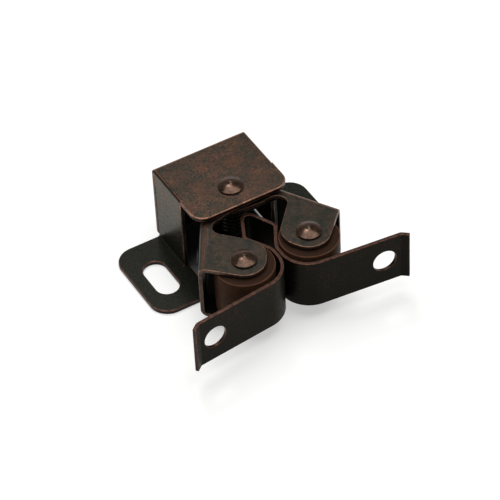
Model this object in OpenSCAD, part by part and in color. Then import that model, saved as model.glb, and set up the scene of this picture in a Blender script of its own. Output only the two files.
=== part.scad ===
// Double roller catch for a cabinet door, with its strike gripped between the rollers.
// Millimetres, +Z up. The origin lies midway between the two screw slots, on the
// face that is screwed to the cabinet. The strike leaves towards -Y.

/* [Housing] */
// width of the raised box over its side walls
housing_width = 18.1; // [17.6:0.1:19]
// height of the box above the mounting face
housing_height = 15.9; // [15.7:0.1:17]
// front to back size of the top plate
housing_depth = 15; // [14.5:0.1:15.5]
// thickness of the folded housing sheet
housing_sheet = 0.8; // [0.7:0.05:0.9]
// inside radius of the folds between the walls and the ears
housing_fold = 0.4; // [0.3:0.05:0.6]
// outside radius of the tight folds along the top plate
top_corner = 0.55; // [0.4:0.05:0.8]
// inside radius of the tight folds along the top plate
top_fold = 0.15; // [0.1:0.05:0.3]
// outside radius of the fold between the top plate and the back wall
back_fold = 0.85; // [0.7:0.05:0.85]
// from the mounting face to the back wall's lower edge
back_gap = 0.1; // [0.1:0.1:0.6]
// radius of the back wall's lower corners
back_corner = 1.5; // [1:0.1:2]
// front to back size of the two side walls
wall_depth = 9; // [8:0.1:9.4]
// radius of the top plate's front corners
plate_corner = 2.6; // [1.5:0.1:3.5]
// overall width across the two ears
ear_span = 37; // [36.5:0.1:39]
// front to back size of the ears
ear_depth = 17.3; // [16.5:0.1:18]
// radius of the ears' outer corners
ear_corner = 3.5; // [2:0.1:4]
// distance between the two screw slots
slot_spacing = 27.6; // [27:0.1:28.2]
// width of a screw slot
slot_width = 4.2; // [3.6:0.1:4.6]
// end to end length of a screw slot
slot_length = 8.4; // [7:0.1:9]
// from the slots' middle to the back edges of the ears and side walls
slot_to_back = 9.2; // [8.8:0.1:9.6]

/* [Arms] */
// thickness of the folded arm sheet
arm_sheet = 0.7; // [0.6:0.05:0.75]
// height of an arm over both of its plates
arm_height = 11; // [10.8:0.1:11.2]
// inside radius of the arms' folds
arm_fold = 0.6; // [0.4:0.05:0.8]
// angle of an arm's outer wall from straight ahead, in degrees
arm_angle = 31.4; // [30:0.2:33]
// from the pivot to the outer face of an arm's wall
arm_offset = 5.1; // [4.9:0.05:5.3]
// from the pivot to the front corner, measured along the wall
arm_length = 17.7; // [17.2:0.1:18]
// length of an arm's outer wall
arm_wall_length = 11.5; // [10.5:0.1:11.6]
// radius of the round end that carries the roller
ear_end_radius = 3.7; // [3.4:0.1:3.9]
// radius of the round base about the pivot
base_radius = 4.1; // [3.8:0.05:4.15]
// from the housing's underside to the arms' upper faces
arm_drop = 0.7; // [0.6:0.05:0.8]
// radius of the notch between an arm and its base
notch_radius = 1.8; // [1.6:0.05:1.9]

/* [Pivot and rivets] */
// from the side walls' back edges to the pivot
pivot_to_back = 10.36; // [10.1:0.02:10.6]
// diameter of the pivot rivet's shank
pivot_shank = 2.6; // [2.4:0.1:2.8]
// diameter of the roller rivets' shanks
roller_shank = 2.8; // [2.5:0.1:3]
// diameter of the rivet heads
rivet_head = 4.4; // [4:0.1:4.8]
// height of a rivet's domed head
rivet_dome = 1; // [0.8:0.05:1.2]
// height of the head's edge, which stands off the plate
rivet_brim = 0.4; // [0.3:0.05:0.5]
// height of the lower, formed head
rivet_foot = 0.8; // [0.6:0.05:0.9]

/* [Rollers] */
// diameter of a roller
roller_diameter = 10.3; // [10:0.05:10.4]
// length of a roller
roller_length = 9.1; // [8.6:0.1:9.2]
// distance between the two roller axes
roller_spread = 12.43; // [12.3:0.05:12.7]
// from the pivot to the line through the roller axes
roller_reach = 15.04; // [14.9:0.02:15.2]
// rounding of a roller's rim
roller_rim = 0.25; // [0.15:0.05:0.4]

/* [Spring] */
// thickness of the spring wire
spring_wire = 0.8; // [0.7:0.05:0.9]
// full turns of the spring's coil
spring_turns = 5; // [3:1:6]

/* [Strike] */
// thickness of the strike's strip
strike_sheet = 0.62; // [0.55:0.01:0.66]
// height of the strip
strike_height = 9.65; // [9:0.05:9.8]
// how far the strike sits below the rollers' middle
strike_drop = 0.55; // [0.4:0.05:0.65]
// overall width of the strike
strike_span = 41.2; // [40:0.1:42]
// from the pivot to the nose of the strike
nose_to_pivot = 4.45; // [4.44:0.01:4.6]
// half angle of the nose, in degrees
nose_angle = 25.3; // [24:0.1:26.5]
// angle of the head's back flank, in degrees
flank_angle = 29.5; // [28.5:0.1:30.5]
// radius of the strip's middle at the nose
nose_radius = 1.21; // [1.1:0.01:1.3]
// radius of the strip's middle at the shoulders
shoulder_radius = 1.2; // [0.9:0.05:1.5]
// radius of the strip's middle at the neck
neck_radius = 3.6; // [2.6:0.1:4]
// radius of the strip's middle around the front of a roller
bow_radius = 5.06; // [4.9:0.02:5.2]
// forward lean of the wings, in degrees
wing_lean = 6; // [4:0.5:7]
// length of the bent lip at the end of a wing
lip_length = 1.5; // [1:0.1:2]
// bend of the lip, in degrees
lip_angle = 33; // [25:1:45]
// distance between the strike's two screw holes
hole_spacing = 32.6; // [31.6:0.1:33]
// diameter of the strike's screw holes
hole_diameter = 4.2; // [3.8:0.1:4.6]

/* [Hidden] */
fine = 96;
slack = 0.02;
pivot_play = 0.05;
roller_bore_play = 0.06;
lap_gap = 0.05;
head_gap = 0.05;
grip_gap = 0.1;
leg_gap = 0.05;
seam = 0.08;
neck_gap = 0.16;
far = 40;
// how far joined shapes run into each other, and how much one stands proud
join = 0.03;
proud = 0.004;

pivot_y = slot_to_back - pivot_to_back;
half_width = housing_width / 2;
fold_outer = housing_fold + housing_sheet;
// an open seam parts the back wall from the side walls' back edges
back_reach = seam + housing_sheet;

arm_top = housing_height - housing_sheet - arm_drop;
arm_floor = arm_top - arm_height;
// the left arm's base is set up and the right arm's down, so that one lies on the other
base_set = (arm_sheet + lap_gap) / 2;

roller_r = roller_diameter / 2;
roller_x = roller_spread / 2;
roller_y = pivot_y - roller_reach;
roller_mid = arm_floor + arm_height / 2;
strike_mid = roller_mid - strike_drop;

function unit(a) = [cos(a), sin(a)];
function bearing(v) = atan2(v[1], v[0]);
// touching point on a circle of the line from an outside point
function touch(c, r, q, side) =
    c + r * unit(bearing(q - c) + side * acos(r / norm(q - c)));
// direction of the line that passes between two circles and touches both
function between(c1, r1, c2, r2, side) =
    unit(bearing(c2 - c1) + side * acos((r1 + r2) / norm(c2 - c1)));
// meeting point of two lines, each given by a point and a direction
function meet(p, u, q, v) =
    p + u * (((q - p)[0] * v[1] - (q - p)[1] * v[0]) / (u[0] * v[1] - u[1] * v[0]));

// Places on the right arm, with the pivot at the origin
along = [sin(arm_angle), -cos(arm_angle)];
outward = [cos(arm_angle), sin(arm_angle)];
pin = [roller_x, -roller_reach];
ear_side = pin + [-0.165, 1];
ear_side_r = ear_end_radius + 0.4;
notch = pin + [-1.01, 8.80];
wall_start = arm_length - arm_wall_length;
set_run = 0.8;
front_corner = along * arm_length + outward * (arm_offset + 1);
wall_end = along * wall_start + outward * (arm_offset + 1);
wall_end_inner = along * wall_start + outward * (arm_offset - arm_fold - arm_sheet);
plate_back = wall_end_inner - along * 2.5;
inner_way = between(ear_side, ear_side_r, notch, notch_radius, 1);
base_way = between([0, 0], base_radius, notch, notch_radius, -1);

module hat_block(half, base, top, corner) {
    // upright block with two round upper corners
    translate([corner - half, base])
        square([2 * (half - corner), top - base]);
    translate([-half, base])
        square([2 * half, top - base - corner]);
    mirrored()
        translate([half - corner, top - corner])
            circle(r = corner, $fn = fine);
}

module housing_section() {
    // hat section of the folded sheet, across the object
    difference() {
        hat_block(half_width, fold_outer, housing_height, top_corner);
        hat_block(half_width - housing_sheet, 0, housing_height - housing_sheet, top_fold);
    }
    mirrored() {
        translate([half_width + housing_fold, fold_outer])
            quarter(fold_outer, housing_fold, 180);
        translate([half_width + housing_fold, 0])
            square([ear_span / 2 - half_width - housing_fold, housing_sheet]);
    }
}

module mirrored() {
    children();
    mirror([1, 0, 0])
        children();
}

module quarter(outer, inner, turn) {
    rotate(turn)
        intersection() {
            difference() {
                circle(r = outer, $fn = fine);
                circle(r = inner, $fn = fine);
            }
            square(outer + 1);
        }
}

module ear_plan() {
    // outline of the right ear
    inner_edge = half_width - housing_sheet;
    ear_front = slot_to_back - ear_depth;
    difference() {
        union() {
            translate([inner_edge, ear_front])
                square([ear_span / 2 - ear_corner - inner_edge, ear_depth]);
            translate([inner_edge, ear_front + ear_corner])
                square([ear_span / 2 - inner_edge, ear_depth - 2 * ear_corner]);
            translate([ear_span / 2 - ear_corner, ear_front + ear_corner])
                circle(r = ear_corner, $fn = fine);
            translate([ear_span / 2 - ear_corner, slot_to_back - ear_corner])
                circle(r = ear_corner, $fn = fine);
        }
        slot_plan();
    }
}

module slot_plan() {
    half_run = (slot_length - slot_width) / 2;
    translate([slot_spacing / 2, 0]) {
        translate([0, half_run])
            circle(d = slot_width, $fn = fine);
        translate([0, -half_run])
            circle(d = slot_width, $fn = fine);
        square([slot_width, 2 * half_run], center = true);
    }
}

module plate_plan() {
    // outline of the top plate, with its two round front corners
    plate_front = slot_to_back - housing_depth;
    translate([-half_width, plate_front + plate_corner])
        square([housing_width, housing_depth - plate_corner]);
    translate([-half_width + plate_corner, plate_front])
        square([housing_width - 2 * plate_corner, housing_depth]);
    mirrored()
        translate([half_width - plate_corner, plate_front + plate_corner])
            circle(r = plate_corner, $fn = fine);
}

module back_outline() {
    // outline of the back wall, seen from behind
    hat_block(half_width, back_gap + back_corner, housing_height, top_corner);
    translate([back_corner - half_width, back_gap])
        square([housing_width - 2 * back_corner, 2 * back_corner]);
    mirrored()
        translate([half_width - back_corner, back_gap + back_corner])
            circle(r = back_corner, $fn = fine);
}

module back_section() {
    // the back wall and its fold, seen from the side
    difference() {
        intersection() {
            union() {
                square([back_reach, housing_height - back_fold]);
                square([back_reach - back_fold, housing_height]);
                translate([back_reach - back_fold, housing_height - back_fold])
                    circle(r = back_fold, $fn = fine);
            }
            square([back_reach, housing_height]);
        }
        translate([-far, -far])
            square([far + seam, far + housing_height - housing_sheet]);
    }
}

module back_wall() {
    intersection() {
        translate([-far / 2, slot_to_back, 0])
            rotate([90, 0, 90])
                linear_extrude(height = far)
                    back_section();
        translate([0, slot_to_back + far / 2, 0])
            rotate([90, 0, 0])
                linear_extrude(height = far)
                    back_outline();
    }
}

module housing() {
    wall_front = slot_to_back - wall_depth;
    color([0.20, 0.16, 0.14])
        difference() {
            union() {
                intersection() {
                    translate([0, slot_to_back, 0])
                        rotate([90, 0, 0])
                            linear_extrude(height = wall_depth)
                                housing_section();
                    union() {
                        linear_extrude(height = housing_height)
                            mirrored()
                                ear_plan();
                        translate([-half_width, wall_front, 0])
                            cube([housing_width, wall_depth, 2 * housing_height]);
                    }
                }
                back_wall();
                translate([0, 0, housing_height - housing_sheet])
                    linear_extrude(height = housing_sheet)
                        intersection() {
                            plate_plan();
                            translate([-far, wall_front - far])
                                square([2 * far, far]);
                        }
                mirrored()
                    linear_extrude(height = housing_sheet)
                        intersection() {
                            ear_plan();
                            translate([0, wall_front - far])
                                square([far, far]);
                        }
            }
            translate([0, pivot_y, housing_height - 2 * housing_sheet])
                cylinder(d = pivot_shank + 2 * slack, h = 3 * housing_sheet, $fn = fine);
        }
}

module rivet(shank, top, bottom) {
    // turned shank with a domed head above and a formed head below
    head = rivet_head / 2;
    bulge = rivet_dome - rivet_brim;
    dome = (head * head + bulge * bulge) / (2 * bulge);
    foot_r = head - 0.2;
    foot = (foot_r * foot_r + rivet_foot * rivet_foot) / (2 * rivet_foot);
    rotate_extrude($fn = fine)
        union() {
            translate([0, bottom])
                square([shank / 2, top - bottom]);
            intersection() {
                translate([0, top + rivet_dome - dome])
                    circle(r = dome, $fn = fine);
                translate([0, top + rivet_brim])
                    square([head, bulge]);
            }
            polygon([
                [0, top],
                [head - rivet_brim, top],
                [head, top + rivet_brim],
                [0, top + rivet_brim]
            ]);
            intersection() {
                translate([0, bottom - rivet_foot + foot])
                    circle(r = foot, $fn = fine);
                translate([0, bottom - rivet_foot])
                    square([foot_r, rivet_foot]);
            }
        }
}

module pivot_rivet() {
    color([0.30, 0.19, 0.13])
        translate([0, pivot_y, 0])
            rivet(pivot_shank, housing_height, arm_floor - base_set - head_gap);
}

module arm_section() {
    // channel section of an arm: outer wall on the right, plates above and below
    outer = arm_fold + arm_sheet;
    difference() {
        channel_block(arm_offset, arm_height, outer, 0);
        channel_block(arm_offset, arm_height, outer, arm_sheet);
    }
}

module channel_block(width, height, corner, inset) {
    translate([-far, inset])
        square([far + width - corner, height - 2 * inset]);
    translate([width - corner - 1, corner])
        square([corner + 1 - inset, height - 2 * corner]);
    translate([width - corner, corner])
        circle(r = corner - inset, $fn = fine);
    translate([width - corner, height - corner])
        circle(r = corner - inset, $fn = fine);
}

module arm_outline() {
    // block with the right arm's outline from above, standing on z = 0
    tall = arm_height + 4;
    difference() {
        union() {
            cylinder(r = base_radius + proud, h = tall, $fn = fine);
            translate(pin)
                cylinder(r = ear_end_radius + proud, h = tall, $fn = fine);
            translate(ear_side)
                cylinder(r = ear_side_r + proud, h = tall, $fn = fine);
            linear_extrude(height = tall)
                polygon([
                    [0, 0],
                    touch([0, 0], base_radius, plate_back, 1),
                    plate_back,
                    wall_end_inner,
                    wall_end,
                    front_corner,
                    touch(pin, ear_end_radius, front_corner, -1),
                    pin,
                    ear_side,
                    ear_side + inner_way * ear_side_r,
                    notch - inner_way * notch_radius,
                    notch - base_way * notch_radius,
                    base_way * base_radius
                ]);
        }
        translate([notch[0], notch[1], -1])
            cylinder(r = notch_radius + proud, h = tall + 2, $fn = fine);
    }
}

module set_plate(level, set) {
    // plate at the base's level, which ramps to the arm's level where the wall starts
    rotate([90, 0, arm_angle - 90])
        translate([0, 0, arm_fold + arm_sheet - arm_offset])
            linear_extrude(height = far)
                polygon([
                    [-far / 2, level + set],
                    [wall_start - set_run, level + set],
                    [wall_start, level],
                    [wall_start + 2 * join, level],
                    [wall_start + 2 * join, level + arm_sheet],
                    [wall_start, level + arm_sheet],
                    [wall_start - set_run, level + arm_sheet + set],
                    [-far / 2, level + arm_sheet + set]
                ]);
}

module arm_blank(set) {
    // right arm on the pivot's axis, standing on z = 0, its base set up or down
    difference() {
        intersection() {
            translate([0, 0, -2])
                arm_outline();
            union() {
                rotate([90, 0, arm_angle])
                    translate([0, 0, wall_start])
                        linear_extrude(height = far)
                            arm_section();
                set_plate(0, set);
                set_plate(arm_height - arm_sheet, set);
            }
        }
        translate([0, 0, -3])
            cylinder(d = pivot_shank + 2 * pivot_play, h = arm_height + 6, $fn = fine);
        translate([pin[0], pin[1], -3])
            cylinder(d = roller_shank + 2 * slack, h = arm_height + 6, $fn = fine);
    }
}

module left_arm() {
    color([0.22, 0.17, 0.15])
        translate([0, pivot_y, arm_floor])
            mirror([1, 0, 0])
                arm_blank(base_set);
}

module right_arm() {
    color([0.22, 0.17, 0.15])
        translate([0, pivot_y, arm_floor])
            arm_blank(-base_set);
}

module roller() {
    // roller on its own axis, with rounded rims
    bore = roller_shank / 2 + roller_bore_play;
    translate([0, 0, roller_mid - roller_length / 2])
        rotate_extrude($fn = fine)
            difference() {
                union() {
                    square([roller_r - roller_rim, roller_length]);
                    translate([0, roller_rim])
                        square([roller_r, roller_length - 2 * roller_rim]);
                    translate([roller_r - roller_rim, roller_rim])
                        circle(r = roller_rim, $fn = fine);
                    translate([roller_r - roller_rim, roller_length - roller_rim])
                        circle(r = roller_rim, $fn = fine);
                }
                translate([0, -1])
                    square([bore, roller_length + 2]);
            }
}

module left_roller() {
    color([0.36, 0.20, 0.13])
        translate([-roller_x, roller_y, 0])
            roller();
}

module right_roller() {
    color([0.36, 0.20, 0.13])
        translate([roller_x, roller_y, 0])
            roller();
}

module left_roller_rivet() {
    color([0.30, 0.19, 0.13])
        translate([-roller_x, roller_y, 0])
            rivet(roller_shank, arm_top, arm_floor);
}

module right_roller_rivet() {
    color([0.30, 0.19, 0.13])
        translate([roller_x, roller_y, 0])
            rivet(roller_shank, arm_top, arm_floor);
}

// Middle line of the spring wire, from the right leg's end to the left leg's end
wire_r = spring_wire / 2;
coil_r = pivot_shank / 2 + 0.2 + wire_r;
coil_pitch = spring_wire + 0.06;
coil_top = roller_mid + spring_turns * coil_pitch / 2;
coil_foot = roller_mid - spring_turns * coil_pitch / 2;
leg_line = arm_offset + wire_r + leg_gap;
leg_end = along * (wall_start + 3) + outward * leg_line;
leg_turn = along * (wall_start + 0.9) + outward * leg_line;
leg_elbow = [leg_turn[0] - 0.7, -coil_r];
coil_steps = 24;

function at(p, z) = [p[0], p[1], z];
function flip(p) = [-p[0], p[1]];
right_leg = [
    at(leg_end, coil_top),
    at(leg_turn, coil_top),
    at(0.3 * leg_elbow + 0.7 * leg_turn, coil_top),
    at(leg_elbow, coil_top),
    at(leg_elbow - [0.9, 0], coil_top)
];
coil = [
    for (i = [0 : coil_steps * spring_turns])
        at(coil_r * unit(-90 - 360 * i / coil_steps),
           coil_top - coil_pitch * i / coil_steps)
];
left_leg = [
    at(flip(leg_elbow - [0.9, 0]), coil_foot),
    at(flip(leg_elbow), coil_foot),
    at(flip(0.3 * leg_elbow + 0.7 * leg_turn), coil_foot),
    at(flip(leg_turn), coil_foot),
    at(flip(leg_end), coil_foot)
];
wire = concat(right_leg, coil, left_leg);

module swept_wire(path, r, sides) {
    last = len(path) - 1;
    ways = [
        for (i = [0 : last])
            let (v = path[min(i + 1, last)] - path[max(i - 1, 0)])
                v / norm(v)
    ];
    rings = [
        for (i = [0 : last])
            let (side = cross(ways[i], [0, 0, 1]) / norm(cross(ways[i], [0, 0, 1])))
                for (k = [0 : sides - 1])
                    path[i] + r * cos(360 * k / sides) * side
                        + r * sin(360 * k / sides) * cross(side, ways[i])
    ];
    skin = [
        for (i = [0 : last - 1])
            for (k = [0 : sides - 1])
                let (n = (k + 1) % sides)
                    for (f = [
                        [i * sides + k, i * sides + n, (i + 1) * sides + n],
                        [i * sides + k, (i + 1) * sides + n, (i + 1) * sides + k]
                    ])
                        f
    ];
    start_cap = [[for (k = [sides - 1 : -1 : 0]) k]];
    end_cap = [[for (k = [0 : sides - 1]) last * sides + k]];
    polyhedron(points = rings, faces = concat(skin, start_cap, end_cap));
}

module spring() {
    color([0.45, 0.45, 0.46])
        translate([0, pivot_y, 0])
            swept_wire(wire, wire_r, 10);
}

// Middle line of the strike's strip, right half, as corners and the radii that round them
half_sheet = strike_sheet / 2;
nose_y = pivot_y - nose_to_pivot - half_sheet;
nose_way = [sin(nose_angle), -cos(nose_angle)];
flank_way = [sin(flank_angle), cos(flank_angle)];
flank_side = [-cos(flank_angle), sin(flank_angle)];
wing_way = [cos(wing_lean), -sin(wing_lean)];
lip_way = [cos(wing_lean + lip_angle), -sin(wing_lean + lip_angle)];
nose_peak = [0, nose_y + nose_radius * (1 / sin(nose_angle) - 1)];
flank_touch = [roller_x, roller_y] + flank_side * (roller_r + grip_gap + half_sheet);
neck_x = neck_gap / 2 + half_sheet;
bow_y = roller_y - 0.95;
bow_centre = [neck_x + bow_radius, bow_y];
wing_touch = bow_centre - bow_radius * [sin(wing_lean), cos(wing_lean)];
shoulder = meet(nose_peak, nose_way, flank_touch, flank_way);
neck = meet(flank_touch, flank_way, [neck_x, 0], [0, 1]);
bow = meet([neck_x, 0], [0, 1], wing_touch, wing_way);
lip_start = wing_touch
    + wing_way * ((strike_span / 2 - lip_length * lip_way[0] - wing_touch[0]) / wing_way[0]);
lip_end = lip_start + lip_way * lip_length;
lip_radius = 1;

corners = [nose_peak, shoulder, neck, bow, lip_start, lip_end];
radii = [nose_radius, shoulder_radius, neck_radius, bow_radius, lip_radius];

function way(a, b) = (b - a) / norm(b - a);
function turn_of(i) =
    let (u = way(corners[i - 1], corners[i]), v = way(corners[i], corners[i + 1]))
        atan2(u[0] * v[1] - u[1] * v[0], u * v);
function reach_of(i) = radii[i] * tan(abs(turn_of(i)) / 2);
nose_reach = nose_radius / tan(nose_angle);
function leave(i) =
    corners[i] + way(corners[i], corners[i + 1]) * (i == 0 ? nose_reach : reach_of(i));
function arrive(i) =
    i == len(corners) - 1
        ? corners[i]
        : corners[i] - way(corners[i - 1], corners[i]) * reach_of(i);

module strip_straight(a, b) {
    run = way(a, b) * join;
    side = [-way(a, b)[1], way(a, b)[0]] * (half_sheet - proud);
    linear_extrude(height = strike_height)
        polygon([a - run + side, a - run - side, b + run - side, b + run + side]);
}

module strip_bend(centre, r, a, b) {
    // part of a ring between the directions of a and b
    reach = r + strike_sheet;
    mid = way(centre, (a + b) / 2);
    translate(centre)
        intersection() {
            difference() {
                cylinder(r = r + half_sheet, h = strike_height, $fn = 2 * fine);
                translate([0, 0, -1])
                    cylinder(r = r - half_sheet, h = strike_height + 2, $fn = 2 * fine);
            }
            linear_extrude(height = strike_height)
                polygon([
                    [0, 0],
                    way(centre, a) * reach * 2,
                    mid * reach * 4,
                    way(centre, b) * reach * 2
                ]);
        }
}

module strip() {
    // the whole strip standing on z = 0
    nose_centre = [0, nose_y - nose_radius];
    strip_bend(nose_centre, nose_radius, leave(0), flip(leave(0)));
    mirrored()
        union() {
            for (i = [0 : len(corners) - 2])
                strip_straight(leave(i), arrive(i + 1));
            for (i = [1 : len(corners) - 2]) {
                u = way(corners[i - 1], corners[i]);
                s = sign(turn_of(i));
                strip_bend(arrive(i) + s * radii[i] * [-u[1], u[0]], radii[i], arrive(i), leave(i));
            }
        }
}

module strike() {
    color([0.24, 0.18, 0.15])
        difference() {
            translate([0, 0, strike_mid - strike_height / 2])
                strip();
            mirrored()
                translate([hole_spacing / 2, roller_y, strike_mid])
                    rotate([90, 0, 0])
                        cylinder(d = hole_diameter, h = far, $fn = fine);
        }
}

housing();
pivot_rivet();
left_arm();
right_arm();
left_roller();
right_roller();
left_roller_rivet();
right_roller_rivet();
spring();
strike();
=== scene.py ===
import math

import bmesh
import bpy
import numpy as np
from mathutils import Matrix, Vector
from mathutils.bvhtree import BVHTree


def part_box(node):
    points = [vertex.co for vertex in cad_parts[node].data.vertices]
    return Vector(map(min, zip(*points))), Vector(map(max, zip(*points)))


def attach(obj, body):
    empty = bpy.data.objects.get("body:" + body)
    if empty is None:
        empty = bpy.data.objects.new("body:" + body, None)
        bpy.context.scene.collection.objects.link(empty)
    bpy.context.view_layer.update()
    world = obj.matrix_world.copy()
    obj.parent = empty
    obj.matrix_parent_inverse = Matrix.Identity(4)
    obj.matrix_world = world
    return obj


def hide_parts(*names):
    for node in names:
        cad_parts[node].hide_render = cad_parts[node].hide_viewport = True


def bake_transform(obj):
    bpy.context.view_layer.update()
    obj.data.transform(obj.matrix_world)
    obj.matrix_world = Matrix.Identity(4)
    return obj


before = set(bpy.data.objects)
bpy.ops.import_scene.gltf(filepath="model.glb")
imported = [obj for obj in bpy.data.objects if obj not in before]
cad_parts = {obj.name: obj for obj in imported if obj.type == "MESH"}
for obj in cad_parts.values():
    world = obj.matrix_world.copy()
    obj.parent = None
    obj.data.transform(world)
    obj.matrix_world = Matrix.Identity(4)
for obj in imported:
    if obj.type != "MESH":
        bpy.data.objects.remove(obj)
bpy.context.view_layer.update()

# Housing: one blank of 0.8 mm steel sheet, folded to a raised box with a back wall and two slotted ears, then plated
# antique copper: blackened, and rubbed back to bright copper along every punched edge and along the top of each
# fold, where the copper also stands in for a painted highlight. The curves of the folds and the cut sides are
# painted near black, and the plating darker towards the bottom, as painted shade. It is screwed down through the
# ears.
mm = 0.001
blank_sheet = 0.8 * mm
blank_edge = 0.17 * mm


def solid_copy(name, node):
    """A merged copy of a solid's skin, its flat faces joined to whole ones."""
    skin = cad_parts[node].data
    points = np.empty(len(skin.vertices) * 3, np.float32)
    skin.vertices.foreach_get("co", points)
    mesh = bpy.data.meshes.new(name)
    mesh.from_pydata(points.reshape(-1, 3).tolist(), [], [tuple(f.vertices) for f in skin.polygons])
    work = bmesh.new()
    work.from_mesh(mesh)
    bmesh.ops.remove_doubles(work, verts=work.verts, dist=0.002 * mm)
    bmesh.ops.dissolve_limit(work, angle_limit=math.radians(0.4), verts=work.verts, edges=work.edges)
    work.to_mesh(mesh)
    work.free()
    piece = bpy.data.objects.new(name, mesh)
    bpy.context.scene.collection.objects.link(piece)
    return piece


def settle(piece):
    """Turns a piece's live modifiers into its plain mesh."""
    bpy.context.view_layer.update()
    shaped = piece.evaluated_get(bpy.context.evaluated_depsgraph_get())
    mesh = bpy.data.meshes.new_from_object(shaped)
    mesh.name = piece.name
    piece.modifiers.clear()
    piece.data = mesh
    return piece


def break_edges(piece, face, edge, cut, width, sheet):
    """Rounds the punched edges and finishes them and the cut sides of the sheet."""
    piece.data.materials.clear()
    for finish in (face, edge, cut):
        piece.data.materials.append(finish)
    piece.data.shade_smooth()
    bevel = piece.modifiers.new("broken edge", "BEVEL")
    bevel.width = width
    bevel.segments = 2
    bevel.limit_method = "ANGLE"
    bevel.angle_limit = math.radians(40)
    bevel.use_clamp_overlap = False
    bevel.harden_normals = True
    bevel.material = 1
    skin = BVHTree.FromPolygons([v.co.copy() for v in piece.data.vertices],
                                [tuple(f.vertices) for f in piece.data.polygons])
    settle(piece)
    for point in piece.data.vertices:
        near, normal, index, gap = skin.find_nearest(point.co)
        if gap > width or (point.co - near).dot(normal) > 0.01 * mm:
            point.co = near
    piece.data.calc_loop_triangles()
    cut_area = np.zeros(len(piece.data.polygons))
    for tri in piece.data.loop_triangles:
        inside = sum((piece.data.vertices[i].co for i in tri.vertices), Vector()) / 3
        way = -piece.data.polygons[tri.polygon_index].normal
        spot, normal, index, depth = skin.ray_cast(inside + way * width * 0.2, way)
        cut_area[tri.polygon_index] += tri.area if depth and depth > 1.7 * sheet else -tri.area
    for polygon in piece.data.polygons:
        if cut_area[polygon.index] > 0 and polygon.material_index == 0:
            polygon.material_index = 2
    return piece


def add_node(tree, kind, values=None, **settings):
    """A shader or geometry node with its settings and unlinked values."""
    made = tree.nodes.new(kind)
    for key, value in settings.items():
        setattr(made, key, value)
    for key, value in (values or {}).items():
        if isinstance(value, bpy.types.NodeSocket):
            tree.links.new(value, made.inputs[key])
        else:
            made.inputs[key].default_value = value
    return made


def finish_on(name):
    """An empty material with its surface shader and millimetre coordinates."""
    material = bpy.data.materials.new(name)
    material.use_nodes = True
    tree = material.node_tree
    tree.nodes.clear()
    surface = tree.nodes.new("ShaderNodeBsdfPrincipled")
    out = tree.nodes.new("ShaderNodeOutputMaterial")
    tree.links.new(surface.outputs["BSDF"], out.inputs["Surface"])
    place = tree.nodes.new("ShaderNodeTexCoord")
    scale = add_node(tree, "ShaderNodeMapping", {"Vector": place.outputs["Object"], "Scale": (1000, 1000, 1000)})
    return material, tree, surface, scale.outputs["Vector"]


def noise(tree, place, scale, detail, rough, low, high):
    """A noise of so many grains a millimetre, spread to 0..1 between two levels."""
    grain = add_node(tree, "ShaderNodeTexNoise",
                     {"Vector": place, "Scale": scale, "Detail": detail, "Roughness": rough})
    spread = add_node(tree, "ShaderNodeMapRange",
                      {"Value": grain.outputs["Fac"], "From Min": low, "From Max": high})
    return spread.outputs["Result"]


def blend_colour(tree, share, first, second):
    """One colour going over into another."""
    mix = tree.nodes.new("ShaderNodeMix")
    mix.data_type = "RGBA"
    for socket, value in ((mix.inputs[0], share), (mix.inputs[6], first), (mix.inputs[7], second)):
        if isinstance(value, bpy.types.NodeSocket):
            tree.links.new(value, socket)
        elif isinstance(value, tuple):
            socket.default_value = (*value, 1)
        else:
            socket.default_value = value
    return mix.outputs[2]


def times(tree, a, b):
    """Two shares multiplied."""
    return add_node(tree, "ShaderNodeMath", {0: a, 1: b}, operation="MULTIPLY").outputs[0]


def step_up(tree, value, start, end):
    """0 at one value and 1 at another."""
    ramp = add_node(tree, "ShaderNodeMapRange", {"Value": value, "From Min": start, "From Max": end})
    return ramp.outputs["Result"]


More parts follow.
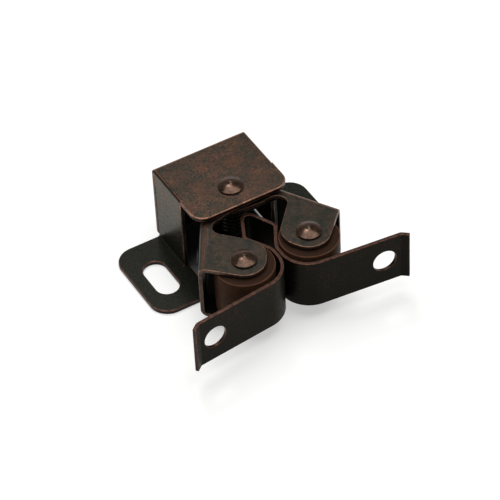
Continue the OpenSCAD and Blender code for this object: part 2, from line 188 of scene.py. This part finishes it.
def antique_plate(name, black, brown, copper, rubbed, gloss, low, high):
    """Blackened copper plating, rubbed brown from one height up to another, with flecks of copper; painted darker
    towards the bottom and near black in the curve of each fold, as painted shade; the top of each fold is rubbed to
    copper that also stands in for a painted highlight.
    """
    material, tree, surface, place = finish_on(name)
    level = add_node(tree, "ShaderNodeSeparateXYZ", {"Vector": place}).outputs["Z"]
    rubbed_high_shaded_low = add_node(tree, "ShaderNodeMapRange",
                       {"Value": level, "From Min": low, "From Max": high, "To Min": 0.12}).outputs["Result"]
    cloud = noise(tree, place, 0.42, 5, 0.72, 0.42, 0.64)
    grain = noise(tree, place, 3.0, 2, 0.6, 0.4, 0.62)
    fleck = noise(tree, place, 2.6, 3, 0.7, 0.5, 0.68)
    patch = noise(tree, place, 0.23, 2, 0.5, 0.38, 0.66)
    ground = blend_colour(tree, times(tree, cloud, rubbed_high_shaded_low), black, brown)
    dusted = blend_colour(tree, times(tree, times(tree, grain, rubbed_high_shaded_low), 0.22), ground, brown)
    shown = times(tree, times(tree, fleck, patch), times(tree, rubbed_high_shaded_low, rubbed))
    flecked = blend_colour(tree, shown, dusted, copper)
    facing = add_node(tree, "ShaderNodeSeparateXYZ", {"Vector": tree.nodes["Texture Coordinate"].outputs["Normal"]})
    lean = facing.outputs["Z"]
    # partly wear, partly painted highlight: the top of each fold near the top height is rubbed to copper, which also
    # stands in for the fold's highlight
    upper = add_node(tree, "ShaderNodeMapRange", {"Value": level, "From Min": high - 2, "From Max": high - 1.5})
    ridge = times(tree, step_up(tree, lean, 0.997, 0.99), step_up(tree, lean, 0.78, 0.86))
    worn = noise(tree, place, 1.1, 3, 0.6, 0.25, 0.6)
    fold_wear_and_highlight = times(tree, times(tree, ridge, upper.outputs["Result"]), worn)
    bright = blend_colour(tree, times(tree, fold_wear_and_highlight, 0.8), flecked, copper)
    # painted shade: the curve of each fold, between its top and its wall, is painted near black, standing in for the
    # dark it reflects
    flank = times(tree, step_up(tree, lean, 0.86, 0.76), step_up(tree, lean, 0.05, 0.3))
    fold_painted_dark = blend_colour(tree, times(tree, flank, 0.75), bright, (0.006, 0.006, 0.005))
    # painted shade: below the rubbed band the plating goes darker than its black, in the low parts and inside the
    # box
    tint = blend_colour(tree, rubbed_high_shaded_low, tuple(0.42 * part for part in black), fold_painted_dark)
    tree.links.new(tint, surface.inputs["Base Color"])
    rough = add_node(tree, "ShaderNodeMapRange",
                     {"Value": grain, "To Min": gloss - 0.05, "To Max": gloss + 0.09})
    tree.links.new(rough.outputs["Result"], surface.inputs["Roughness"])
    tooth = add_node(tree, "ShaderNodeBump", {"Height": grain, "Strength": 0.25, "Distance": 0.00002})
    tree.links.new(tooth.outputs["Normal"], surface.inputs["Normal"])
    surface.inputs["Metallic"].default_value = 0.3
    surface.inputs["Specular IOR Level"].default_value = 0.09
    surface.inputs["Specular Tint"].default_value = (1.0, 0.95, 0.84, 1)
    return material


def worn_and_shaded_edge(name, brown, copper, low, high):
    """Copper showing where handling has worn the black off an edge, more so higher up, and painted darker towards
    the bottom as painted shade.
    """
    material, tree, surface, place = finish_on(name)
    level = add_node(tree, "ShaderNodeSeparateXYZ", {"Vector": place}).outputs["Z"]
    rubbed_high_shaded_low = add_node(tree, "ShaderNodeMapRange",
                       {"Value": level, "From Min": low, "From Max": high, "To Min": 0.3}).outputs["Result"]
    worn = noise(tree, place, 1.3, 3, 0.65, 0.3, 0.62)
    shown = blend_colour(tree, worn, brown, copper)
    # painted shade: low on the piece the edge goes darker than its brown
    tint = blend_colour(tree, rubbed_high_shaded_low, tuple(0.2 * part for part in brown), shown)
    tree.links.new(tint, surface.inputs["Base Color"])
    rough = add_node(tree, "ShaderNodeMapRange", {"Value": worn, "To Min": 0.5, "To Max": 0.34})
    tree.links.new(rough.outputs["Result"], surface.inputs["Roughness"])
    surface.inputs["Metallic"].default_value = 0.6
    surface.inputs["Specular IOR Level"].default_value = 0.3
    return material


housing_face = antique_plate("housing plating", (0.040, 0.042, 0.0335), (0.104, 0.056, 0.038),
                             (0.30, 0.135, 0.082), 0.65, 0.3, 1, 14)
housing_rim = worn_and_shaded_edge("housing rubbed edge", (0.09, 0.046, 0.031), (0.46, 0.22, 0.14), 12, 15.4)
# painted shade: the housing's cut sides are coloured near black, for the shade they face into, with almost no copper
# showing
housing_cut_shaded = worn_and_shaded_edge("housing cut side", (0.006, 0.006, 0.005), (0.020, 0.012, 0.009), 1, 14)
housing = solid_copy("folded_housing", "housing")
break_edges(housing, housing_face, housing_rim, housing_cut_shaded, blank_edge, blank_sheet)
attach(housing, "housing")
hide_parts("housing")

# Arms: two channels of 0.7 mm steel sheet that swing on the pivot rivet. Each is folded
# twice along its outer wall, carries a roller between its plates, and is plated as the
# housing is.
arm_sheet = 0.7 * mm
arm_edge = 0.12 * mm
arm_face = antique_plate("arm plating", (0.021, 0.0255, 0.0212), (0.062, 0.045, 0.033),
                         (0.16, 0.076, 0.048), 0.5, 0.34, 8, 14.4)
arm_rim = worn_and_shaded_edge("arm rubbed edge", (0.06, 0.037, 0.026), (0.26, 0.138, 0.092), 3, 14)
arm_cut = worn_and_shaded_edge("arm cut side", (0.032, 0.022, 0.016), (0.11, 0.066, 0.046), 3, 14)
for side in ("left", "right"):
    arm = solid_copy(side + "_channel_arm", side + "_arm")
    break_edges(arm, arm_face, arm_rim, arm_cut, arm_edge, arm_sheet)
    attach(arm, side + "_arm")
    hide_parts(side + "_arm")

# Rivets: turned steel with a domed head, closed from below with a smaller formed head.
# The middle one is the pivot of both arms, the other two are the rollers' axles. The
# heading tool leaves a small nub on the dome, and the brim stands a little off the plate.
rivet_head = 4.4 * mm
rivet_dome = 1.0 * mm
rivet_nub = 0.12 * mm
rivet_brim = 0.4 * mm
rivet_foot = 0.8 * mm


def geometry_tree(name, sizes):
    """A geometry tree with a mesh going in and named sizes."""
    tree = bpy.data.node_groups.new(name, "GeometryNodeTree")
    tree.interface.new_socket("Geometry", in_out="INPUT", socket_type="NodeSocketGeometry")
    keys = {}
    for size, kind in sizes:
        keys[size] = tree.interface.new_socket(size, in_out="INPUT", socket_type=kind).identifier
    tree.interface.new_socket("Geometry", in_out="OUTPUT", socket_type="NodeSocketGeometry")
    return tree, tree.nodes.new("NodeGroupInput"), tree.nodes.new("NodeGroupOutput"), keys


rivet_finish, tree, surface, place = finish_on("rivet plating")
cloud = noise(tree, place, 0.9, 3, 0.6, 0.35, 0.65)
grain = noise(tree, place, 2.6, 3, 0.6, 0.35, 0.68)
ground = blend_colour(tree, cloud, (0.030, 0.021, 0.016), (0.088, 0.052, 0.036))
tint = blend_colour(tree, times(tree, grain, 0.5), ground, (0.14, 0.075, 0.048))
tree.links.new(tint, surface.inputs["Base Color"])
rough = add_node(tree, "ShaderNodeMapRange", {"Value": grain, "To Min": 0.15, "To Max": 0.24})
tree.links.new(rough.outputs["Result"], surface.inputs["Roughness"])
tooth = add_node(tree, "ShaderNodeBump", {"Height": grain, "Strength": 0.06, "Distance": 0.00001})
tree.links.new(tooth.outputs["Normal"], surface.inputs["Normal"])
surface.inputs["Metallic"].default_value = 0.7
surface.inputs["Specular IOR Level"].default_value = 0.15

lathe, lathe_in, lathe_out, lathe_keys = geometry_tree(
    "turned rivet", [("Turns", "NodeSocketInt"), ("Seat", "NodeSocketVector")])
profile = add_node(lathe, "GeometryNodeMeshToCurve", {"Mesh": lathe_in.outputs["Geometry"]})
ring = add_node(lathe, "GeometryNodeCurvePrimitiveCircle",
                {"Resolution": lathe_in.outputs["Turns"], "Radius": 0.000001})
spun = add_node(lathe, "GeometryNodeCurveToMesh",
                {"Curve": ring.outputs["Curve"], "Profile Curve": profile.outputs["Curve"]})
sealed = add_node(lathe, "GeometryNodeMergeByDistance",
                  {"Geometry": spun.outputs["Mesh"], "Distance": 0.000003})
seated = add_node(lathe, "GeometryNodeTransform",
                  {"Geometry": sealed.outputs["Geometry"], "Translation": lathe_in.outputs["Seat"]})
whole = add_node(lathe, "GeometryNodeRealizeInstances", {"Geometry": seated.outputs["Geometry"]})
coat = add_node(lathe, "GeometryNodeSetMaterial", {"Geometry": whole.outputs["Geometry"], "Material": rivet_finish})
lathe.links.new(coat.outputs["Geometry"], lathe_out.inputs["Geometry"])


def line_mesh(name, points):
    """A bare chain of points, the path or outline that a tree works on."""
    mesh = bpy.data.meshes.new(name)
    mesh.from_pydata(points, [(i, i + 1) for i in range(len(points) - 1)], [])
    piece = bpy.data.objects.new(name, mesh)
    bpy.context.scene.collection.objects.link(piece)
    return piece


def run_tree(piece, tree, keys, sizes):
    """Runs a geometry tree on a piece and keeps the plain mesh."""
    modifier = piece.modifiers.new(tree.name, "NODES")
    modifier.node_group = tree
    for size, value in sizes.items():
        modifier[keys[size]] = value
    return settle(piece)


def facing_out(piece):
    """Turns every face outwards."""
    work = bmesh.new()
    work.from_mesh(piece.data)
    bmesh.ops.recalc_face_normals(work, faces=work.faces)
    work.to_mesh(piece.data)
    work.free()


def rivet_outline(shank, top, bottom):
    """Half outline of a rivet from the dome's tip to the foot's, drawn downwards."""
    head = rivet_head / 2
    brim = head - 0.12 * mm
    bulge = rivet_dome - rivet_nub - rivet_brim
    dome = (brim ** 2 + bulge ** 2) / (2 * bulge)
    outline = []
    for i in range(33):
        r = brim * (i / 32) ** 1.3
        nub = rivet_nub * math.exp(-(r / (0.3 * mm)) ** 2)
        outline.append((r, -top - rivet_brim - nub - bulge + dome - math.sqrt(dome ** 2 - r ** 2)))
    for i in range(1, 9):
        turn = math.radians(22.5 * i)
        outline.append((brim + 0.12 * mm * math.sin(turn), -top - rivet_brim + 0.12 * mm * (1 - math.cos(turn))))
    outline.append((head - rivet_brim, -top))
    outline.append((shank / 2, -top))
    outline.append((shank / 2, -bottom))
    foot = head - 0.2 * mm
    ball = (foot ** 2 + rivet_foot ** 2) / (2 * rivet_foot)
    outline.append((foot - 0.03 * mm, -bottom))
    for i in range(12, -1, -1):
        r = (foot - 0.03 * mm) * i / 12
        outline.append((r, rivet_foot - ball - bottom + math.sqrt(ball ** 2 - r ** 2)))
    return [(x, y, 0) for x, y in outline]


for name, node, body, shank in (
    ("domed_pivot_rivet", "pivot_rivet", "housing", 2.6 * mm),
    ("left_axle_rivet", "left_roller_rivet", "left_arm", 2.8 * mm),
    ("right_axle_rivet", "right_roller_rivet", "right_arm", 2.8 * mm),
):
    low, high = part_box(node)
    middle = (low + high) / 2
    rivet = line_mesh(name, rivet_outline(shank, high.z - rivet_dome, low.z + rivet_foot))
    run_tree(rivet, lathe, lathe_keys, {"Turns": 64, "Seat": (middle.x, middle.y, 0)})
    facing_out(rivet)
    rivet.data.shade_smooth()
    rivet.data.set_sharp_from_angle(angle=math.radians(40))
    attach(rivet, body)
    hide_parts(node)

# Rollers: turned brown plastic, one on each axle between an arm's plates. The rims are rounded and the ends are flat
# around the bore. The top ends are painted dark, as painted shade from the arm's plate over them, and the rims carry
# a painted highlight.
roller_finish, tree, surface, place = finish_on("brown roller plastic")
bands = add_node(tree, "ShaderNodeMapping", {"Vector": place, "Scale": (0.35, 0.35, 6.0)})
turned = noise(tree, bands.outputs["Vector"], 1.6, 3, 0.6, 0.35, 0.65)
haze = noise(tree, place, 0.5, 3, 0.55, 0.35, 0.68)
ground = blend_colour(tree, haze, (0.084, 0.042, 0.024), (0.134, 0.070, 0.040))
tread = blend_colour(tree, times(tree, turned, 0.3), ground, (0.165, 0.088, 0.053))
facing = add_node(tree, "ShaderNodeSeparateXYZ", {"Vector": tree.nodes["Texture Coordinate"].outputs["Normal"]})
# painted highlight: a lighter reddish line where the rounded rims turn
rim = times(tree, step_up(tree, facing.outputs["Z"], 0.1, 0.5), step_up(tree, facing.outputs["Z"], 0.97, 0.8))
tread_with_painted_rim_highlight = blend_colour(tree, times(tree, rim, 0.6), tread, (0.150, 0.062, 0.034))
# painted shade: the top end of each roller is painted dark, for the shade under the arm's plate
tint = blend_colour(tree, step_up(tree, facing.outputs["Z"], 0.9, 0.99), tread_with_painted_rim_highlight, (0.034, 0.0175, 0.0105))
tree.links.new(tint, surface.inputs["Base Color"])
rough = add_node(tree, "ShaderNodeMapRange", {"Value": turned, "To Min": 0.34, "To Max": 0.48})
tree.links.new(rough.outputs["Result"], surface.inputs["Roughness"])
tooth = add_node(tree, "ShaderNodeBump", {"Height": turned, "Strength": 0.15, "Distance": 0.00001})
tree.links.new(tooth.outputs["Normal"], surface.inputs["Normal"])
surface.inputs["Specular IOR Level"].default_value = 0.02

roller_rim = 0.25 * mm
bore = 1.46 * mm
for side in ("left", "right"):
    low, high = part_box(side + "_roller")
    middle = (low + high) / 2
    radius = (high.x - low.x) / 2
    outline = [(bore, -high.z)]
    for i in range(13):
        turn = math.radians(7.5 * i)
        outline.append((radius - roller_rim + roller_rim * math.sin(turn),
                        -high.z + roller_rim - roller_rim * math.cos(turn)))
    for i in range(13):
        turn = math.radians(90 + 7.5 * i)
        outline.append((radius - roller_rim + roller_rim * math.sin(turn),
                        -low.z - roller_rim - roller_rim * math.cos(turn)))
    outline += [(bore, -low.z), (bore, -high.z)]
    roller = line_mesh(side + "_turned_roller", [(x, y, 0) for x, y in outline])
    run_tree(roller, lathe, lathe_keys, {"Turns": 128, "Seat": (middle.x, middle.y, 0)})
    facing_out(roller)
    roller.data.materials.clear()
    roller.data.materials.append(roller_finish)
    roller.data.shade_smooth()
    roller.data.set_sharp_from_angle(angle=math.radians(40))
    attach(roller, side + "_roller")
    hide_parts(side + "_roller")

# Spring: drawn steel wire wound on the pivot rivet, a leg bearing on each arm's wall from outside. It is modelled as
# two halves, one for each leg.
wire_radius = 0.4 * mm
pivot = Vector((0, -1.16 * mm, 0))
spring_mid = 8.9 * mm
spring_turns = 5
turn_steps = 24
coil_radius = 1.9 * mm
coil_pitch = 0.86 * mm
arm_turn = math.radians(31.4)
wall_way = Vector((math.sin(arm_turn), -math.cos(arm_turn), 0))
wall_out = Vector((math.cos(arm_turn), math.sin(arm_turn), 0))

wire_finish, tree, surface, place = finish_on("spring wire in painted shade")
streak = add_node(tree, "ShaderNodeMapping", {"Vector": place, "Scale": (1.0, 1.0, 5.0)})
drawn = noise(tree, streak.outputs["Vector"], 3.0, 3, 0.6, 0.35, 0.65)
# blackened wire, and painted shade: its colour is taken down to near black for the dark inside the box
tint = blend_colour(tree, drawn, (0.008, 0.0075, 0.007), (0.018, 0.016, 0.015))
tree.links.new(tint, surface.inputs["Base Color"])
rough = add_node(tree, "ShaderNodeMapRange", {"Value": drawn, "To Min": 0.3, "To Max": 0.45})
tree.links.new(rough.outputs["Result"], surface.inputs["Roughness"])
surface.inputs["Metallic"].default_value = 0.9

winding, winding_in, winding_out, winding_keys = geometry_tree(
    "wound wire", [("Wire radius", "NodeSocketFloat"), ("Sides", "NodeSocketInt")])
path = add_node(winding, "GeometryNodeMeshToCurve", {"Mesh": winding_in.outputs["Geometry"]})
ring = add_node(winding, "GeometryNodeCurvePrimitiveCircle",
                {"Resolution": winding_in.outputs["Sides"], "Radius": winding_in.outputs["Wire radius"]})
drawn_wire = add_node(winding, "GeometryNodeCurveToMesh",
                      {"Curve": path.outputs["Curve"], "Profile Curve": ring.outputs["Curve"], "Fill Caps": True})
whole = add_node(winding, "GeometryNodeRealizeInstances", {"Geometry": drawn_wire.outputs["Mesh"]})
coat = add_node(winding, "GeometryNodeSetMaterial", {"Geometry": whole.outputs["Geometry"], "Material": wire_finish})
winding.links.new(coat.outputs["Geometry"], winding_out.inputs["Geometry"])

wall_face = 5.1 * mm
leg_line = wall_face + wire_radius + 0.05 * mm
leg_end = wall_way * 9.2 * mm + wall_out * leg_line
leg_turn = wall_way * 7.1 * mm + wall_out * leg_line
leg_elbow = Vector((leg_turn.x - 0.7 * mm, -coil_radius, 0))
for side, hand in (("right", 1), ("left", -1)):
    level = Vector((0, 0, spring_mid + hand * spring_turns * coil_pitch / 2))
    leg = [leg_end, leg_turn, leg_elbow * 0.3 + leg_turn * 0.7, leg_elbow, leg_elbow - Vector((0.9 * mm, 0, 0))]
    route = [Vector((hand * p.x, p.y, 0)) + level for p in leg]
    for i in range(int(turn_steps * spring_turns / 2) + 1):
        turn = math.radians(-90) - hand * 2 * math.pi * i / turn_steps
        drop = Vector((0, 0, -hand * coil_pitch * i / turn_steps))
        route.append(coil_radius * Vector((math.cos(turn), math.sin(turn), 0)) + level + drop)
    half = line_mesh(side + "_spring_half", [tuple(pivot + p) for p in route])
    run_tree(half, winding, winding_keys, {"Wire radius": wire_radius, "Sides": 12})
    facing_out(half)
    half.data.shade_smooth()
    half.data.set_sharp_from_angle(angle=math.radians(50))
    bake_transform(half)
    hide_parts("spring")

# Strike: one strip of 0.6 mm sheet bent to a spear head, a narrow neck and two wings with
# a screw hole and a short bent lip each. It is screwed to the door, plated darker than
# the catch, and its cut edges are rubbed to copper.
strip_thick = 0.62 * mm
strip_edge = 0.1 * mm
screw_hole = 2.1 * mm
hole_spacing = 32.6 * mm
hole_line = -23.378 * mm
wing_reach = 20.6 * mm
roller_low, roller_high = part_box("right_roller")
roller_axis = (roller_low + roller_high) / 2
roller_radius = (roller_high.x - roller_low.x) / 2
strike_low, strike_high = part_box("strike")
nose_lean = math.radians(25.3)
flank_lean = math.radians(29.5)
wing_lean = math.radians(6)
lip_lean = wing_lean + math.radians(33)


def crossing(p, u, q, v):
    """Where two lines in plan meet."""
    t = ((q.x - p.x) * v.y - (q.y - p.y) * v.x) / (u.x * v.y - u.y * v.x)
    return p + u * t


nose_radius = 1.21 * mm
bow_radius = 5.06 * mm
lip_length = 1.5 * mm
nose_way = Vector((math.sin(nose_lean), -math.cos(nose_lean)))
flank_way = Vector((math.sin(flank_lean), math.cos(flank_lean)))
flank_side = Vector((-math.cos(flank_lean), math.sin(flank_lean)))
wing_way = Vector((math.cos(wing_lean), -math.sin(wing_lean)))
lip_way = Vector((math.cos(lip_lean), -math.sin(lip_lean)))
nose_tip = Vector((0, strike_high.y - strip_thick / 2))
nose_peak = nose_tip + Vector((0, nose_radius * (1 / math.sin(nose_lean) - 1)))
flank_touch = roller_axis.xy + flank_side * (roller_radius + 0.1 * mm + strip_thick / 2)
neck_x = 0.08 * mm + strip_thick / 2
bow_middle = Vector((neck_x + bow_radius, roller_axis.y - 0.95 * mm))
wing_touch = bow_middle - bow_radius * Vector((math.sin(wing_lean), math.cos(wing_lean)))
shoulder = crossing(nose_peak, nose_way, flank_touch, flank_way)
neck = crossing(flank_touch, flank_way, Vector((neck_x, 0)), Vector((0, 1)))
bow = crossing(Vector((neck_x, 0)), Vector((0, 1)), wing_touch, wing_way)
lip_start = wing_touch + wing_way * ((wing_reach - lip_length * lip_way.x - wing_touch.x) / wing_way.x)
lip_end = lip_start + lip_way * lip_length
half_path = [(shoulder, 1.2 * mm), (neck, 3.6 * mm), (bow, bow_radius), (lip_start, 1.0 * mm), (lip_end, 0)]
strip_path = [(Vector((-p.x, p.y)), r) for p, r in reversed(half_path)]
strip_path += [(nose_peak, nose_radius)] + half_path
strip_mid = (strike_low.z + strike_high.z) / 2

bending, bending_in, bending_out, bending_keys = geometry_tree(
    "bent strip", [("Strip height", "NodeSocketFloat"), ("Strip thickness", "NodeSocketFloat"),
                   ("Hole radius", "NodeSocketFloat"), ("Hole spacing", "NodeSocketFloat"),
                   ("Middle", "NodeSocketVector"), ("Bend steps", "NodeSocketInt")])
path = add_node(bending, "GeometryNodeMeshToCurve", {"Mesh": bending_in.outputs["Geometry"]})
bend = add_node(bending, "GeometryNodeInputNamedAttribute", {"Name": "bend"}, data_type="FLOAT")
rounded = add_node(bending, "GeometryNodeFilletCurve",
                   {"Curve": path.outputs["Curve"], "Radius": bend.outputs["Attribute"],
                    "Count": bending_in.outputs["Bend steps"]}, mode="POLY")
upright = add_node(bending, "GeometryNodeSetCurveNormal", {"Curve": rounded.outputs["Curve"]}, mode="Z_UP")
section = add_node(bending, "GeometryNodeCurvePrimitiveQuadrilateral",
                   {"Width": bending_in.outputs["Strip thickness"], "Height": bending_in.outputs["Strip height"]})
strip = add_node(bending, "GeometryNodeCurveToMesh",
                 {"Curve": upright.outputs["Curve"], "Profile Curve": section.outputs["Curve"], "Fill Caps": True})
drill = add_node(bending, "GeometryNodeMeshCylinder",
                 {"Vertices": 64, "Radius": bending_in.outputs["Hole radius"], "Depth": 12 * mm})
half_space = times(bending, bending_in.outputs["Hole spacing"], 0.5)
minus_space = times(bending, half_space, -1.0)
cut = strip.outputs["Mesh"]
for offset in (half_space, minus_space):
    aside = add_node(bending, "ShaderNodeCombineXYZ", {"X": offset})
    spot = add_node(bending, "ShaderNodeVectorMath",
                    {0: aside.outputs["Vector"], 1: bending_in.outputs["Middle"]}, operation="ADD")
    laid = add_node(bending, "GeometryNodeTransform",
                    {"Geometry": drill.outputs["Mesh"], "Translation": spot.outputs["Vector"],
                     "Rotation": (math.pi / 2, 0, 0)})
    bore_cut = add_node(bending, "GeometryNodeMeshBoolean",
                        {"Mesh 1": cut, "Mesh 2": laid.outputs["Geometry"]},
                        operation="DIFFERENCE", solver="EXACT")
    cut = bore_cut.outputs["Mesh"]
whole = add_node(bending, "GeometryNodeRealizeInstances", {"Geometry": cut})
strike_face = antique_plate("strike plating", (0.0075, 0.0085, 0.0062), (0.016, 0.0125, 0.009),
                            (0.10, 0.047, 0.030), 0.6, 0.4, -4, 14)
strike_face.node_tree.nodes["Principled BSDF"].inputs["Specular IOR Level"].default_value = 0.06
coat = add_node(bending, "GeometryNodeSetMaterial", {"Geometry": whole.outputs["Geometry"], "Material": strike_face})
bending.links.new(coat.outputs["Geometry"], bending_out.inputs["Geometry"])

strike = line_mesh("bent_strike", [(p.x, p.y, strip_mid) for p, r in strip_path])
bend_data = strike.data.attributes.new("bend", "FLOAT", "POINT")
bend_data.data.foreach_set("value", [r for p, r in strip_path])
run_tree(strike, bending, bending_keys,
         {"Strip height": strike_high.z - strike_low.z, "Strip thickness": strip_thick,
          "Hole radius": screw_hole, "Hole spacing": hole_spacing,
          "Middle": (0, hole_line, strip_mid), "Bend steps": 20})
work = bmesh.new()
work.from_mesh(strike.data)
bmesh.ops.remove_doubles(work, verts=work.verts, dist=0.002 * mm)
bmesh.ops.dissolve_limit(work, angle_limit=math.radians(0.4), verts=work.verts, edges=work.edges)
bmesh.ops.recalc_face_normals(work, faces=work.faces)
work.to_mesh(strike.data)
work.free()
strike_rim = worn_and_shaded_edge("strike rubbed edge", (0.034, 0.016, 0.010), (0.15, 0.060, 0.036), 2, 12)
strike_cut = worn_and_shaded_edge("strike cut side", (0.024, 0.0125, 0.0085), (0.075, 0.034, 0.0215), 2, 12)
break_edges(strike, strike_face, strike_rim, strike_cut, strip_edge, strip_thick)
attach(strike, "strike")
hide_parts("strike")

# Floor: a plain white sheet that the catch stands on, kept white for the eye, with the catch's soft shadow on it.
# Under the housing the floor is painted dark grey for the eye, with no added white, as painted shade, so the box
# stays dark inside.
reach = 3.0


def seen_ray(tree):
    """1 where the eye looks, straight, in a gloss or through glass, and 0 for other light."""
    ray = tree.nodes.new("ShaderNodeLightPath")
    direct = add_node(tree, "ShaderNodeMath", {0: ray.outputs["Is Camera Ray"], 1: ray.outputs["Is Glossy Ray"]},
                      operation="MAXIMUM")
    return add_node(tree, "ShaderNodeMath", {0: direct.outputs[0], 1: ray.outputs["Is Transmission Ray"]},
                    operation="MAXIMUM").outputs[0]


floor_mesh = bpy.data.meshes.new("floor")
floor_mesh.from_pydata([(-reach, -reach, 0), (reach, -reach, 0), (reach, reach, 0), (-reach, reach, 0)], [],
                       [(0, 1, 2, 3)])
floor = bpy.data.objects.new("floor", floor_mesh)
bpy.context.scene.collection.objects.link(floor)
paper = bpy.data.materials.new("white sheet")
paper.use_nodes = True
tree = paper.node_tree
tree.nodes.clear()
seen = seen_ray(tree)
box_middle, box_half_width, box_half_depth = 2.25 * mm, 8.85 * mm, 7.65 * mm
under = add_node(tree, "ShaderNodeMapping",
                 {"Vector": tree.nodes.new("ShaderNodeTexCoord").outputs["Object"],
                  "Location": (0, -box_middle / box_half_depth, 0),
                  "Scale": (1 / box_half_width, 1 / box_half_depth, 1)})
aside = add_node(tree, "ShaderNodeVectorMath", {0: under.outputs["Vector"]}, operation="ABSOLUTE")
across = add_node(tree, "ShaderNodeSeparateXYZ", {"Vector": aside.outputs["Vector"]})
beyond = add_node(tree, "ShaderNodeMath", {0: across.outputs["X"], 1: across.outputs["Y"]}, operation="MAXIMUM")
# painted shade: inside the housing's footprint the floor shows dark grey and gets no added white
clear = step_up(tree, beyond.outputs[0], 0.94, 1.0)
shade = blend_colour(tree, clear, (0.2, 0.2, 0.197), (0.64, 0.64, 0.633))
matt = add_node(tree, "ShaderNodeBsdfDiffuse", {"Color": shade})
glow = add_node(tree, "ShaderNodeEmission", {"Color": (1, 1, 0.99, 1), "Strength": times(tree, clear, 0.5)})
lit = add_node(tree, "ShaderNodeAddShader", {0: matt.outputs["BSDF"], 1: glow.outputs["Emission"]})
bounce = add_node(tree, "ShaderNodeBsdfDiffuse", {"Color": (0.2, 0.2, 0.197, 1)})
choice = add_node(tree, "ShaderNodeMixShader",
                  {0: seen, 1: bounce.outputs["BSDF"], 2: lit.outputs["Shader"]})
out = add_node(tree, "ShaderNodeOutputMaterial", {"Surface": choice.outputs["Shader"]})
floor_mesh.materials.append(paper)

# Light: white surroundings, a broad soft box overhead and a small one behind to the right
# that glints on the rivets.
world = bpy.data.worlds.new("white room")
bpy.context.scene.world = world
world.use_nodes = True
tree = world.node_tree
tree.nodes.clear()
seen = seen_ray(tree)
dim = add_node(tree, "ShaderNodeBackground", {"Color": (1, 1, 1, 1), "Strength": 0.1})
sky = add_node(tree, "ShaderNodeSeparateXYZ", {"Vector": tree.nodes.new("ShaderNodeTexCoord").outputs["Generated"]})
fade = add_node(tree, "ShaderNodeMapRange",
                {"Value": sky.outputs["Z"], "From Min": 0.12, "From Max": 0.5, "To Min": 1.0, "To Max": 0.15})
white = add_node(tree, "ShaderNodeBackground", {"Color": (1, 1, 1, 1), "Strength": fade.outputs["Result"]})
choice = add_node(tree, "ShaderNodeMixShader",
                  {0: seen, 1: dim.outputs["Background"], 2: white.outputs["Background"]})
out = add_node(tree, "ShaderNodeOutputWorld", {"Surface": choice.outputs["Shader"]})

for name, spot, size, power in (
    ("overhead soft box", (0.03, 0.02, 0.6), 0.6, 3.3),
    ("back soft box", (0.1, 0.3, 0.5), 0.1, 0.35),
):
    lamp = bpy.data.lights.new(name, "AREA")
    lamp.shape = "SQUARE"
    lamp.size = size
    lamp.energy = power
    lamp_object = bpy.data.objects.new(name, lamp)
    lamp_object.location = spot
    aim = Vector((0, -8 * mm, 8 * mm)) - Vector(spot)
    lamp_object.rotation_euler = aim.to_track_quat("-Z", "Y").to_euler()
    bpy.context.scene.collection.objects.link(lamp_object)

# Camera: a long lens from the front left, looking down at about 44 degrees.
side_turn = math.radians(-28.173)
look_down = math.radians(44.216)
roll = math.radians(-3.189)
frame_side = 500
focal = 2838.75
centre_x, centre_y = 204.893, 219.241
distance = 494.21 * mm
back = Vector((math.sin(side_turn) * math.cos(look_down), -math.cos(side_turn) * math.cos(look_down),
               math.sin(look_down)))
level_right = Vector((math.cos(side_turn), math.sin(side_turn), 0))
level_up = back.cross(level_right)
right = level_right * math.cos(roll) + level_up * math.sin(roll)
up = level_up * math.cos(roll) - level_right * math.sin(roll)
aside = (centre_x - frame_side / 2) * distance / focal
above = (frame_side / 2 - centre_y) * distance / focal
back_foot = Vector((0, 9.2 * mm, 0))
eye = back_foot - right * aside - up * above + back * distance
camera = bpy.data.cameras.new("camera")
camera.sensor_width = 36
camera.lens = focal * camera.sensor_width / frame_side
camera.clip_start = 0.01
camera_object = bpy.data.objects.new("camera", camera)
camera_object.matrix_world = Matrix((
    (right.x, up.x, back.x, eye.x),
    (right.y, up.y, back.y, eye.y),
    (right.z, up.z, back.z, eye.z),
    (0, 0, 0, 1)))
bpy.context.scene.collection.objects.link(camera_object)
bpy.context.scene.camera = camera_object
bpy.context.scene.view_settings.view_transform = "Standard"
